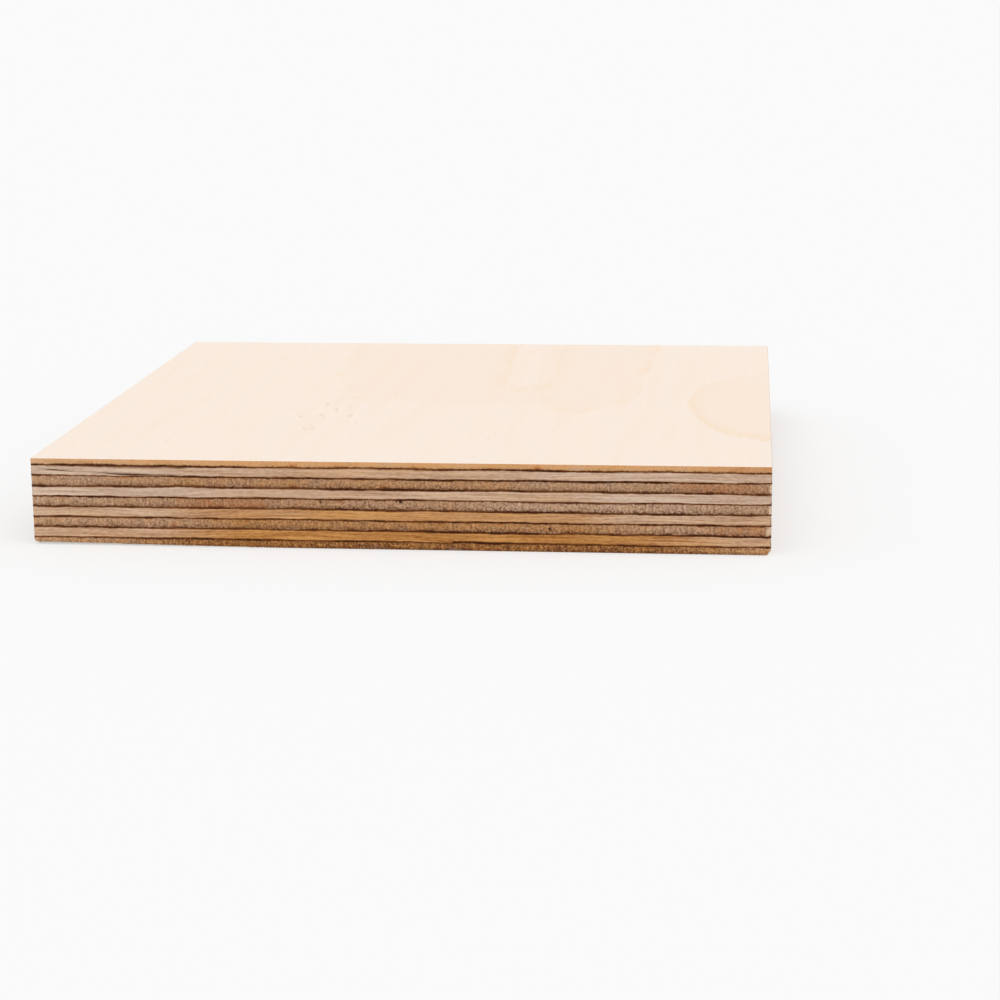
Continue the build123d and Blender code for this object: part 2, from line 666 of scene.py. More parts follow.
def crack_group():
    """Draws the middle rows of a veneer's front wall to a sloping line and opens a crack there."""
    inputs = {"Sheet": GEOMETRY, "Thickness": FLOAT}
    tree, given, result = new_group("crack", "GeometryNodeTree", inputs, {"Sheet": GEOMETRY})
    x, y, z = place_in_millimetres(tree)
    height = recall(tree, "ply_height")
    ragged = wobble(x, *LONG_WOBBLE) + wobble(x, *SHORT_WOBBLE)
    line = (x - CRACK_FOOT) * CRACK_SLOPE + ragged + FOOT_HEIGHT
    open_share = opening(x, *FIRST_OPENING) * OPENINGS[0] + opening(x, *SECOND_OPENING) * OPENINGS[1]
    half_width = open_share * OPEN_WIDTH + HAIR_WIDTH
    line = reckon("MAXIMUM", line, half_width + LEAST_HEIGHT)
    there = ramp(x, *CRACK_START) * ramp(x, *CRACK_END) * in_front(y, *CRACK_REACH)
    under = height / (0.5 - ROWS_BESIDE) * (line - half_width)
    over = 1.0 - (1.0 - height) / (0.5 - ROWS_BESIDE) * (1.0 - line - half_width)
    at_middle = ramp(abs(height - 0.5), ROWS_BESIDE, 0.0)
    moved = between(reckon("GREATER_THAN", height, 0.5), under, over)
    moved = between(at_middle, moved, line)
    depth = at_middle * there * (open_share + LEAST_OPENING) * CRACK_DEPTH
    browned = ramp(abs(height - 0.5), BROWN_REACH, 0.0) * there * (open_share + BROWN_LEAST) * BROWN_SHARE
    # The crack's depth is painted shade, and the browned wood beside it is the wood's own colour.
    hollow = recall(tree, "hollow") + depth * SHADE_PER_CRACK_DEPTH + browned
    sheet = remember(given["Sheet"], "hollow", hollow)
    sheet = shift(sheet, 0.0, depth, (moved - height) * there * given["Thickness"])
    feed(result["Sheet"], sheet)
    return tree


crack = crack_group()
print("crack:", len(crack.nodes), "nodes")

# %% [markdown]
# Here and there a scrap of bark or a wormy spot has fallen out of the front edge and left a pit.

# %% Sink a pit
PIT_FLOOR = 0.4
PIT_REACH = (1.2, 0.4)
PIT_SHADE = 2.4
Pit = namedtuple("Pit", "veneer across height radius depth")


def pit_group():
    """Presses a small round pit into the front wall, at a place given along X and Z."""
    inputs = {"Sheet": GEOMETRY, "Across": FLOAT, "Height": FLOAT, "Radius": FLOAT, "Depth": FLOAT}
    tree, given, result = new_group("pit", "GeometryNodeTree", inputs, {"Sheet": GEOMETRY})
    x, y, z = place_in_millimetres(tree)
    aside = x - given["Across"]
    above = z - given["Height"]
    reach = reckon("SQRT", aside * aside + above * above)
    inside = ramp(reach, given["Radius"], given["Radius"] * PIT_FLOOR) * in_front(y, *PIT_REACH)
    # The pit is darkened with painted shade.
    sheet = remember(given["Sheet"], "hollow", recall(tree, "hollow") + inside * PIT_SHADE)
    feed(result["Sheet"], shift(sheet, 0.0, inside * given["Depth"], 0.0))
    return tree


pit = pit_group()
print("pit:", len(pit.nodes), "nodes")

# %% [markdown]
# ## Laying up the sheet
# Now the blanks become layers. Each copy is stretched to its thickness, lifted to its place, pressed and
# sawn. The face and the back first get the small bevel that sanding leaves round their outer rims.

# %% Copy a blank for each layer
ARRIS_BREAK = 0.12
ARRIS_SEGMENTS = 2
SMOOTH_ANGLE = math.radians(40)


def bevel_rim(piece, height):
    """Breaks the outer rim of a layer at a height, in millimetres."""
    only(piece)
    bpy.ops.object.mode_set(mode="EDIT")

    def on_rim(place):
        reach = max(abs(place.x), abs(place.y))
        return near(place.z, height * MM) and reach > (HALF - CORNER_RADIUS) * MM

    pick(on_rim)
    bpy.ops.mesh.bevel(offset=ARRIS_BREAK * MM, segments=ARRIS_SEGMENTS, affect="EDGES")
    bpy.ops.object.mode_set(mode="OBJECT")


def cut_layer(layer):
    """A flat layer in its place, copied from a blank, with its mesh at the origin."""
    blank = glue_blank if layer.is_glue else veneer_blank
    only(blank)
    bpy.ops.object.duplicate()
    piece = bpy.context.object
    piece.name = layer.name + ("_film" if layer.is_glue else "_wood")
    piece.data.name = piece.name
    piece.scale.z = layer.top - layer.bottom
    piece.location.z = layer.bottom * MM
    bpy.ops.object.transform_apply(location=True, rotation=True, scale=True)
    if layer is layers[-1]:
        bevel_rim(piece, layer.top)
    if layer is layers[0]:
        bevel_rim(piece, layer.bottom)
    only(piece)
    bpy.ops.object.shade_smooth_by_angle(angle=SMOOTH_ANGLE)
    return piece


print("outer rims broken by", ARRIS_BREAK, "mm in", ARRIS_SEGMENTS, "steps")

# %% Press and saw each layer
GLUE_ROUGHNESS = 0.6


def press_layer(piece, layer):
    """Bends a layer to the glue lines below and above it, and saws its edges."""
    half_film = (layers[1].top - layers[1].bottom) / 2
    if layer.is_glue:
        middle = (layer.bottom + layer.top) / 2
        below, above, skin_below, skin_above = middle, middle, -1.0, 1.0
    else:
        below, above, skin_below, skin_above = layer.bottom - half_film, layer.top + half_film, 1.0, -1.0
    work(piece, press_and_saw, bottom=layer.bottom, top=layer.top, glue_below=below, glue_above=above,
         bends_below=0.0 if layer is layers[0] else 1.0, bends_above=0.0 if layer is layers[-1] else 1.0,
         skin_below=skin_below, skin_above=skin_above,
         front_end_grain=float(layer.ply % 2) if not layer.is_glue else 0.5,
         roughness=GLUE_ROUGHNESS if layer.is_glue else 1.0)


pieces = {}
for layer in layers:
    pieces[layer.name] = cut_layer(layer)
    press_layer(pieces[layer.name], layer)
for blank in (veneer_blank, glue_blank):
    bpy.data.objects.remove(blank)
triangle_count = sum(len(piece.data.loop_triangles) for piece in pieces.values())
print("laid up", len(pieces), "layers with", triangle_count, "triangles")

# %% Wear the underside and the ends
ARRIS_WEAR_LENGTH = 38.0
ARRIS_WEAR_HEIGHT = 0.45
ARRIS_WEAR_DEPTH = 1.20
ARRIS_RAGGED = 0.04
CORNER_RAGGED = 0.08
UPRIGHT_RAGGED = 0.12
LEFT_KNOCK = (0.60, 3.50, 0.80)
RIGHT_KNOCK = (0.65, 3.00, 1.05)


def knock_lower_corner(piece, side, reach, run, rise):
    """Takes the lower front corner off the back veneer, at the left, side -1, or the right, side 1."""
    x, y = side * HALF, -HALF
    knock(piece, (x - side * reach, y, 0), (x, y + run, 0), (x, y, rise), CORNER_RAGGED)


def knock_upright_corner(piece, side, reach, depth):
    """Takes the front corner off a veneer from skin to skin."""
    x, y = side * HALF, -HALF
    knock(piece, (x - side * reach, y, 0), (x, y + depth, 0), (x - side * reach, y, 1), UPRIGHT_RAGGED)


def wear_front_arris(piece):
    """Rubs away the lower front arris of the back veneer, most at the left end."""
    right = (ARRIS_WEAR_LENGTH - HALF, -HALF, 0)
    up_corner = (-HALF, -HALF, ARRIS_WEAR_HEIGHT)
    along_side = (-HALF, ARRIS_WEAR_DEPTH - HALF, 0)
    knock(piece, right, up_corner, along_side, ARRIS_RAGGED)


def count_points(piece, label, least):
    """How many points of a piece have more than a least value of a named attribute."""
    return sum(point.value > least for point in piece.data.attributes[label].data)


back_piece = pieces["back_veneer"]
wear_front_arris(back_piece)
knock_lower_corner(back_piece, -1, *LEFT_KNOCK)
knock_lower_corner(back_piece, 1, *RIGHT_KNOCK)

UPRIGHT_KNOCKS = {"long_veneer_3": 0.35, "long_veneer_5": 0.45, "long_veneer_7": 0.75, "cross_veneer_8": 0.25,
                  "glue_line_8": 0.3, "glue_line_7": 0.2, "glue_line_6": 0.15}
UPRIGHT_RUN = 1.4
LEFT_UPRIGHT = (0.18, 0.3)
for name, reach in UPRIGHT_KNOCKS.items():
    knock_upright_corner(pieces[name], 1, reach, reach * UPRIGHT_RUN)
for name in ("long_veneer_3", "long_veneer_5", "long_veneer_7"):
    knock_upright_corner(pieces[name], -1, *LEFT_UPRIGHT)
print("torn points of the back veneer:", count_points(back_piece, "torn", 0.5))

# %% Split the second veneer and sink the pits
split = next(layer for layer in layers if layer.name == "cross_veneer_2")
work(pieces[split.name], crack, thickness=split.top - split.bottom)
PITS = (Pit("long_veneer_5", 0.6, 6.62, 0.26, 0.5), Pit("long_veneer_5", 0.0, 6.66, 0.18, 0.3),
        Pit("long_veneer_7", 20.6, 3.1, 0.24, 0.35), Pit("long_veneer_5", -10.3, 6.4, 0.2, 0.3))
for spot in PITS:
    work(pieces[spot.veneer], pit, across=spot.across, height=spot.height,
         radius=spot.radius, depth=spot.depth)
print("points deep in the crack:", count_points(pieces[split.name], "hollow", 1.0))

# %% [markdown]
# ## Birch by its own axes
# A veneer is a slice of a log. Fibres run along the grain, rays run through the veneer from skin to skin,
# and pores are long tubes that show as dots where they are cut across. If the pattern is made in solid
# space, stretched along the grain, then the faces, the long edges and the cut ends all show the right thing
# by themselves: lines, streaks or dots. The group takes the place along, across and through the veneer, and
# each pattern says how many of it go to a millimetre in those directions.

# %% The birch grain group
Pattern = namedtuple("Pattern", "across along through seed detail")
GRAIN = {
    "Fibre": Pattern(4.6, 0.10, 4.6, 0, 3.0),
    "Nick": Pattern(5.5, 1.3, 5.5, 20, 1.0),
    "Fleck": Pattern(3.3, 1.0, 3.3, 30, 2.0),
    "Dash": Pattern(7.0, 0.5, 7.0, 90, 1.0),
    "Ray": Pattern(3.2, 0.5, 0.7, 50, 3.0),
    "Tooth": Pattern(1.5, 0.4, 0.3, 210, 3.0),
    "Blotch": Pattern(0.55, 0.12, 0.8, 170, 2.0),
    "Cloud": Pattern(0.15, 0.06, 0.5, 130, 2.0),
}
DASH_SHARE = (0.45, 0.95)
LEAN_LENGTH = 24
LEAN_HEIGHT = 0.5
SEED_ACROSS = 13
SEED_THROUGH = 7
SEED_LEAN = 3


def grain_group():
    """Fibres, flecks, rays, pores and clouds of birch, by the veneer's own axes in millimetres."""
    inputs = {"Along": FLOAT, "Across": FLOAT, "Through": FLOAT, "Seed": FLOAT}
    tree, given, result = new_group("birch grain", "ShaderNodeTree", inputs, dict.fromkeys(GRAIN, FLOAT))
    seed = given["Seed"]
    along = given["Along"]
    across = given["Across"] + seed * SEED_ACROSS
    lean = noise(along / LEAN_LENGTH, seed * SEED_LEAN, 0.0, 1.0) * LEAN_HEIGHT
    through = given["Through"] + seed * SEED_THROUGH + lean
    for label, size in GRAIN.items():
        depth = through * size.through + size.seed
        found = noise(across * size.across, along * size.along, depth, size.detail)
        feed(result[label], ramp(found, *DASH_SHARE) if label == "Dash" else found)
    return tree


birch_grain = grain_group()
print("birch grain:", len(birch_grain.nodes), "nodes")

# %% [markdown]
# ## Resin in the wood
# The glue is a dark phenol resin. Beyond the dark stain there is a thin warm halo, where only the water of
# the glue has browned the wood.

# %% The resin soak group
LEAST_SOAK = 0.02
SOAK_UP = 0.12
SOAK_DOWN = 0.11
SOAK_TEETH = 0.07
END_SOAK_UP = 0.14
END_TEETH_UP = 0.46
END_TEETH_DOWN = 0.16
FULL_SOAK = 0.2
HALO_REACH = 0.10
WET_HALO = 0.16


def soak_group():
    """How far the wood is stained by the glue below and above it, from the distances in millimetres."""
    inputs = {"Below": FLOAT, "Above": FLOAT, "Tooth": FLOAT, "Wet": FLOAT, "End Grain": FLOAT}
    tree, given, result = new_group("resin soak", "ShaderNodeTree", inputs, {"Stain": FLOAT, "Halo": FLOAT})
    tooth = ramp(given["Tooth"], -0.2, 1.1)
    wet = ramp(given["Wet"], -0.5, 0.5)
    end = given["End Grain"]
    end_reach_up = end * (wet * END_SOAK_UP + tooth * END_TEETH_UP)
    reach_up = wet * SOAK_UP + tooth * SOAK_TEETH + end_reach_up + LEAST_SOAK
    reach_down = wet * SOAK_DOWN + tooth * SOAK_TEETH + end * tooth * END_TEETH_DOWN + LEAST_SOAK
    from_below = ramp(given["Below"], reach_up, reach_up * FULL_SOAK)
    from_above = ramp(given["Above"], reach_down, reach_down * FULL_SOAK)
    feed(result["Stain"], reckon("MAXIMUM", from_below, from_above))
    nearest = reckon("MINIMUM", given["Below"], given["Above"])
    feed(result["Halo"], ramp(nearest, wet * WET_HALO + HALO_REACH, 0.0))
    return tree


resin_soak = soak_group()
print("resin soak:", len(resin_soak.nodes), "nodes")

# %% [markdown]
# ## Paint
# Colours are given as they are read off a screen, from 0 to 255, and turned into the even light that shaders
# reckon with. A few more helpers mix two colours, place a group, read the mesh and tilt the surface.

# %% Colours and materials
def paint(red, green, blue):
    """A colour from its three values of 0 to 255, as a shader takes it."""
    colour = []
    for value in (red / 255, green / 255, blue / 255):
        colour.append(value / 12.92 if value <= 0.04045 else ((value + 0.055) / 1.055) ** 2.4)
    return colour + [1.0]


def tint(share, first, second):
    """Two colours mixed by a field."""
    node = share.tree.nodes.new("ShaderNodeMix")
    node.data_type = "RGBA"
    feed(node.inputs[0], share)
    feed(node.inputs[6], first)
    feed(node.inputs[7], second)
    return Field(node.outputs[2])


def use(tree, group, **values):
    """Places a shader group in a material with its own values, and gives its outputs by name."""
    node = tree.nodes.new("ShaderNodeGroup")
    node.node_tree = group
    for label, value in values.items():
        feed(node.inputs[label.replace("_", " ")], value)
    return {output.name: Field(output) for output in node.outputs}


def read(tree, label):
    """Reads a named attribute of the mesh in a material."""
    node = tree.nodes.new("ShaderNodeAttribute")
    node.attribute_name = label
    return Field(node.outputs["Fac"])


def object_place(tree):
    """The X, Y and Z of the point being shaded, in millimetres."""
    node = tree.nodes.new("ShaderNodeSeparateXYZ")
    tree.links.new(tree.nodes.new("ShaderNodeTexCoord").outputs["Object"], node.inputs[0])
    return [Field(part) / MM for part in node.outputs]


def new_material(title):
    """An empty material with a Principled shader, as its tree and that shader's inputs."""
    material = bpy.data.materials.new(title)
    material.use_nodes = True
    return material, material.node_tree, material.node_tree.nodes["Principled BSDF"].inputs


def bump(height, distance):
    """A normal that is tilted by a field, whose unit is as high as a distance in millimetres."""
    node = height.tree.nodes.new("ShaderNodeBump")
    node.inputs["Distance"].default_value = distance * MM
    feed(node.inputs["Height"], height)
    return Field(node.outputs[0])


print("a middle grey of 128 is", round(paint(128, 128, 128)[0], 3), "in even light")

# %% [markdown]
# ## Sawn edges
# Every veneer has its own wood. The inner ones are pale and a little grey near the face, and golden towards
# the back, most of all in the middle of the sheet, where the extra gold is partly the wood and partly painted
# warm bounce light, and the veneers towards the back are darkened there with painted shade. The left end is
# paler with painted light. End grain is darker than long grain, because the open fibres swallow light. Each
# kind of grain is mixed from a dark and a light colour, in a pale wood and in a golden one, and patches of
# rust, olive and ash lie over it.

# %% Colours of sawn birch
END_PALE = (paint(98, 56, 27), paint(226, 189, 158))
END_GOLD = (paint(88, 39, 6), paint(222, 160, 94))
LONG_PALE = (paint(164, 118, 84), paint(230, 205, 183))
LONG_GOLD = (paint(146, 84, 30), paint(222, 163, 94))
RESIN_STAIN = paint(76, 35, 6)
RESIN_HALO = paint(156, 98, 50)
RUST = paint(178, 102, 44)
OLIVE = paint(146, 110, 58)
ASH = paint(192, 168, 146)
FROST = paint(232, 214, 200)
TORN_COLOUR = paint(248, 218, 186)
CAVITY = paint(66, 31, 10)
SHADE_AND_BROWNING = paint(80, 44, 22)
PAINTED_LIGHT_LEFT_END = (-40, -50)
RUSTY_STRETCH = (8, 3)
RUSTY_DEPTH = (0, -10)
FROST_START = (4, 14)
FROST_END = (49, 36)
NOWHERE = 999
Wood = namedtuple(
    "Wood", "gold middle_gold lift middle_lift middle_at reach contrast frost rusty_at",
    defaults=(0.0, NOWHERE))


def end_grain_colour(grain, warm, height, lift, contrast):
    """Cut-off fibres: flecks and hairs, darker towards the lower skin, with rusty and ashen patches."""
    fine = (grain["Fleck"] * 0.64 + grain["Ray"] * 0.36) * contrast
    tone = fine + grain["Blotch"] * 0.30 + grain["Cloud"] * 0.18 - ramp(height, 0.6, 0.0) * 0.34
    tone = ramp(tone + lift + 0.2, -1.2, 1.2)
    colour = tint(tone, tint(warm, END_PALE[0], END_GOLD[0]), tint(warm, END_PALE[1], END_GOLD[1]))
    rusty = ramp(grain["Blotch"] + grain["Cloud"] * 0.5, 0.25, 1.0) * 0.7
    colour = tint(rusty, colour, tint(tone, CAVITY, RUST))
    colour = tint(ramp(grain["Cloud"] - grain["Blotch"] * 0.6, 0.2, 1.1) * 0.45, colour, OLIVE)
    colour = tint(ramp(grain["Cloud"] + grain["Blotch"] * 0.3, -0.3, -1.1) * 0.4, colour, ASH)
    return tint(grain["Dash"] * 0.4, colour, CAVITY)


def long_grain_colour(grain, warm, lift, contrast):
    """Shaved fibres: fine streaks, short nicks and darker dashes."""
    fine = (grain["Fibre"] * 0.74 + grain["Nick"] * 0.34) * contrast
    tone = ramp(fine + grain["Cloud"] * 0.22 + grain["Blotch"] * 0.2 + lift + 0.1, -1.2, 1.05)
    colour = tint(tone, tint(warm, LONG_PALE[0], LONG_GOLD[0]), tint(warm, LONG_PALE[1], LONG_GOLD[1]))
    return tint(grain["Dash"] * 0.32, colour, RUST)


def sawn_colour(x, y, height, end, grain, wood):
    """One veneer's edges, frosted with loose fibre ends and rusty in one stretch of the front."""
    # The middle of the front edge is more golden, partly its own gold and partly painted warm bounce light,
    # and darker with painted shade.
    middle = ramp(abs(x - wood.middle_at), wood.reach, wood.reach * 0.55)
    # The left end is paler and less golden: painted light.
    painted_light_left_end = ramp(x, *PAINTED_LIGHT_LEFT_END)
    lift = middle * wood.middle_lift + painted_light_left_end * 0.15 + wood.lift
    warmth = middle * wood.middle_gold + wood.gold + grain["Cloud"] * 0.14 + grain["Blotch"] * 0.12
    warm = ramp(warmth - painted_light_left_end * 0.06, 0.0, 1.0)
    rusty = ramp(abs(x - wood.rusty_at), *RUSTY_STRETCH) * ramp(y, *RUSTY_DEPTH)
    rusty = rusty * ramp(grain["Blotch"], -1.0, 0.5)
    long_colour = long_grain_colour(grain, warm, lift, wood.contrast)
    end_colour = end_grain_colour(grain, warm, height, lift - rusty * 0.12, wood.contrast)
    end_colour = tint(rusty * 0.4, end_colour, RUST)
    tufts = ramp(grain["Nick"] + grain["Fleck"] * 0.3, 0.25, 0.75)
    frosted = ramp(x, *FROST_START) * ramp(x, *FROST_END) * wood.frost
    end_colour = tint(tufts * frosted, end_colour, FROST)
    return tint(end, long_colour, end_colour)


print("a wood has", len(Wood._fields), "values:", *Wood._fields)

# %% [markdown]
# The outer sides of the face and the back have no glue, so there the distance to it is made too long for any
# stain. The face veneer has been sanded thin, and its teeth of resin are shorter and finer than the others.

# %% Edges with their stains
NO_GLUE = 9.0
FACE_TEETH = 0.6
STAIN_SHARE = 0.85
FACE_STAIN_SHARE = 0.7
SHADE_AND_BROWNING_RAMP = (0.5, 2.2)
EDGE_ROUGHNESS = 0.8
EDGE_SPECULAR = 0.2
EDGE_BUMP = 0.03


def soaked(tree, layer, colour, height, end, grain):
    """An edge's colour with the resin that has soaked in from the glue lines."""
    thickness = layer.top - layer.bottom
    below = height * thickness
    above = thickness - height * thickness
    tooth = grain["Tooth"] + grain["Ray"] * 0.4
    stain = STAIN_SHARE
    if layer is layers[0]:
        below = below + NO_GLUE
    if layer is layers[-1]:
        below = below / FACE_TEETH
        above = above + NO_GLUE
        tooth = grain["Ray"] + grain["Fleck"] * 0.5 + 0.1
        stain = FACE_STAIN_SHARE
    wet = grain["Blotch"] * 0.7 + grain["Cloud"] * 0.6
    soak = use(tree, resin_soak, Below=below, Above=above, Tooth=tooth, Wet=wet, End_Grain=end)
    colour = tint(soak["Halo"] * (0.6 - end * 0.3), colour, RESIN_HALO)
    return tint(soak["Stain"] * stain, colour, RESIN_STAIN)


def edge_birch(layer, wood):
    """The sawn edges of one veneer, stained by resin, with painted shade in hollows and pale where the wood
    is torn.
    """
    material, tree, shader = new_material(layer.name + " edge")
    x, y, z = object_place(tree)
    end = read(tree, "end_grain")
    height = read(tree, "ply_height")
    along, across = (y, x) if layer.ply % 2 else (x, y)
    grain = use(tree, birch_grain, Along=along, Across=across, Through=z, Seed=float(layer.ply))
    colour = sawn_colour(x, y, height, end, grain, wood)
    colour = soaked(tree, layer, colour, height, end, grain)
    # Painted shade darkens the hollows of the saw, the pits and the crack, and beside the crack the wood is
    # browned.
    colour = tint(ramp(read(tree, "hollow"), *SHADE_AND_BROWNING_RAMP), colour, SHADE_AND_BROWNING)
    colour = tint(read(tree, "torn") * (0.6 + grain["Fleck"] * 0.35), colour, TORN_COLOUR)
    feed(shader["Base Color"], colour)
    shader["Roughness"].default_value = EDGE_ROUGHNESS
    shader["Specular IOR Level"].default_value = EDGE_SPECULAR
    relief = grain["Fibre"] * 0.4 + grain["Fleck"] * end * 0.6 - grain["Dash"]
    feed(shader["Normal"], bump(relief, EDGE_BUMP))
    return material


furthest = LEAST_SOAK + SOAK_UP + SOAK_TEETH + END_SOAK_UP + END_TEETH_UP
print("resin climbs up end grain by at most", round(furthest, 2), "mm")

# %% [markdown]
# ## The sanded face
# The face is peeled birch, sanded smooth. The cut runs nearly along the growth rings, so these show as a few
# wide arches, one inside another, with a pale tongue between them and an eye beside them. A cluster of pith
# flecks lies in front, and all the rest is a soft cloudiness with hair-fine pores. Arches and eye are rings
# round a point, drawn out along the grain, and ragged where they cross it. Each noise has its number to a
# millimetre across and along the grain, a seed and its detail.

# %% The face figure group
SWAY = (1 / 9, 1 / 26, 0, 3.0)
SWAY_WIDTH = 1.6
FEATHER = (1 / 0.6, 1 / 12, 12, 3.0)
FAINT = (1 / 5, 1 / 10, 30, 2.0)
PORE = (4.2, 0.30, 60, 2.0)
STREAK = (1 / 2.2, 1 / 40, 90, 4.0)
PITH = (0.9, 0.2, 150, 4.0)
ARCH_SHARE = 0.36
ARCH_LEAN = 0.0034
LEAN_START = 6
INNER_ARCH = 8.3
OUTER_ARCH = 39.0
OUTER_ASIDE = (-20, -30)
OUTER_ALONG = (-24, -8)
SHELF = -6.0
TONGUE = (-10.2, 9)
TONGUE_RADIUS = 3.9
EYE = (58, -5)
EYE_SHARE = 0.64
EYE_RADIUS = 20
EYE_FADE = (36, 6)
EYE_LINE_FADE = (30, -20)
PITH_SPOT = (-14.5, -16)
PITH_SHARE = 0.4
PITH_REACH = (70, 5)
LATE_WOOD = 3.5
LATE_WOOD_END = 0.5
HAIRLINE = 0.6


def ring_line(distance):
    """A growth ring: darkens slowly from its inside, and ends in a hairline."""
    late_wood = ramp(distance, -LATE_WOOD, 0.0) * ramp(distance, LATE_WOOD_END, 0.0)
    return late_wood * 0.6 + ramp(abs(distance), HAIRLINE, 0.0) * 0.4


def ring_round(aside, ahead):
    """The radius of a ring through a place, and the share of the way in which it crosses the grain there."""
    radius = reckon("SQRT", aside * aside + ahead * ahead)
    return radius, abs(ahead) / (radius + 1.0)


def arch_round(aside, along):
    """The same for an arch, whose two sides run straight on behind its middle."""
    return ring_round(aside, reckon("MINIMUM", along, 0.0) * ARCH_SHARE)


def figure_group():
    """Growth rings round a heart line, an eye beside them, pith flecks and pores, on a peeled face."""
    inputs = {"Across": FLOAT, "Along": FLOAT, "Heart Across": FLOAT, "Heart Along": FLOAT, "Seed": FLOAT}
    outputs = dict.fromkeys(("Line", "Inside", "Pith", "Pore", "Streak"), FLOAT)
    tree, given, result = new_group("face figure", "ShaderNodeTree", inputs, outputs)
    across, along, seed = given["Across"], given["Along"], given["Seed"]

    def drawn(by_across, by_along, start, detail):
        return noise(across * by_across, along * by_along, seed + start, detail)

    sway = drawn(*SWAY) * SWAY_WIDTH
    feather = drawn(*FEATHER)
    aside = across - given["Heart Across"]
    behind = along - given["Heart Along"]
    radius, crosswise = arch_round(aside, behind)
    tongue_radius, tongue_crosswise = arch_round(aside - TONGUE[0], behind - TONGUE[1])
    tongue = tongue_radius + sway * 0.9 + feather * (tongue_crosswise * 1.1 + 0.2) - TONGUE_RADIUS
    arch = radius * (1.0 - (along - LEAN_START) * ARCH_LEAN) + sway + feather * (crosswise * 1.1 + 0.15)
    eye_radius, eye_crosswise = ring_round(across - EYE[0], (along - EYE[1]) * EYE_SHARE)
    eye = eye_radius + sway + feather * (eye_crosswise * 1.2 + 0.15) - EYE_RADIUS

    shelf = ramp(along + sway * 2 + feather * 2, SHELF - 2, SHELF + 2)
    shelf = shelf * ramp(aside, INNER_ARCH, INNER_ARCH - 2) * ramp(arch, OUTER_ARCH, OUTER_ARCH - 3)
    within_arch = ramp(arch, INNER_ARCH + 0.5, INNER_ARCH - 0.5)
    beside_tongue = ramp(tongue, -0.5, 0.5)
    plateau = reckon("MAXIMUM", within_arch, shelf * between(beside_tongue, 0.25, 1.0)) * 0.7
    within_eye = ramp(eye, 0.6, -0.6) * ramp(along, *EYE_FADE)
    feed(result["Inside"], reckon("MAXIMUM", plateau, within_eye))
    faint = ramp(drawn(*FAINT), -0.4, 0.7)
    outer = ring_line(arch - OUTER_ARCH) * ramp(aside, *OUTER_ASIDE) * ramp(along, *OUTER_ALONG)
    lines = (ring_line(arch - INNER_ARCH) * beside_tongue + outer) * faint
    lines = lines + ring_line(tongue * -1.0) * (faint * 0.5 + 0.3)
    feed(result["Line"], reckon("MAXIMUM", lines, ring_line(eye) * ramp(along, *EYE_LINE_FADE)))

    spot_across = across - PITH_SPOT[0]
    spot_along = (along - PITH_SPOT[1]) * PITH_SHARE
    near_spot = ramp(spot_across * spot_across + spot_along * spot_along, *PITH_REACH)
    feed(result["Pith"], ramp(drawn(*PITH) + near_spot * 0.34, 0.66, 0.9))
    feed(result["Pore"], ramp(drawn(*PORE), 0.6, 1.2))
    feed(result["Streak"], drawn(*STREAK))
    return tree


face_figure = figure_group()
print("face figure:", len(face_figure.nodes), "nodes")

# %% The face material
SANDED_ROUGHNESS = 0.56
SANDED_SPECULAR = 0.3
SANDED_BUMP = 0.012


def sanded_birch(title, cream, tan, line, fleck, heart, seed):
    """A peeled and sanded veneer face."""
    material, tree, shader = new_material(title)
    x, y, z = object_place(tree)
    figure = use(tree, face_figure, Across=x, Along=y, Heart_Across=heart[0], Heart_Along=heart[1], Seed=seed)
    grain = use(tree, birch_grain, Along=y, Across=x, Through=z, Seed=seed)
    colour = tint(ramp(figure["Streak"] + grain["Fibre"] * 0.4, -1.2, 1.9), cream, tan)
    colour = tint(figure["Inside"] * 0.7, colour, tan)
    colour = tint(figure["Line"] * 0.44, colour, line)
    colour = tint(figure["Pith"] * 0.5, colour, fleck)
    colour = tint(figure["Pore"] * 0.32, colour, fleck)
    feed(shader["Base Color"], colour)
    feed(shader["Roughness"], SANDED_ROUGHNESS - figure["Streak"] * 0.03 + figure["Pore"] * 0.1)
    shader["Specular IOR Level"].default_value = SANDED_SPECULAR
    feed(shader["Normal"], bump(grain["Fibre"] * 0.4 - figure["Pore"], SANDED_BUMP))
    return material


FACE = sanded_birch(
    "sanded face", cream=paint(251, 237, 224), tan=paint(251, 231, 212), line=paint(249, 217, 174),
    fleck=paint(236, 205, 176), heart=(22, 9), seed=0.0)
BACK = sanded_birch(
    "sanded back", cream=paint(244, 226, 204), tan=paint(241, 220, 195), line=paint(232, 196, 154),
    fleck=paint(222, 188, 154), heart=(-14, -20), seed=4.3)
print("sanded woods:", FACE.name, "and", BACK.name)

# %% [markdown]
# ## The glue
# The glue lines aren't all one dark. Where the press has squeezed the film thin, wood shines through and the
# line is brown. The press left the thickness of the film on the mesh, so the material can follow it.

# %% The glue material
RESIN_DARK = paint(62, 26, 2)
RESIN_THIN = paint(142, 80, 28)
RESIN_SPECK = paint(152, 90, 36)
RESIN_PATCHES = (0.5, 1.7)
RESIN_SPECKS = (2.8, 3.0)
THIN_FILM = (0.04, -0.04)
RESIN_ROUGHNESS = 0.6
RESIN_SPECULAR = 0.1
RESIN_BUMP = 0.02


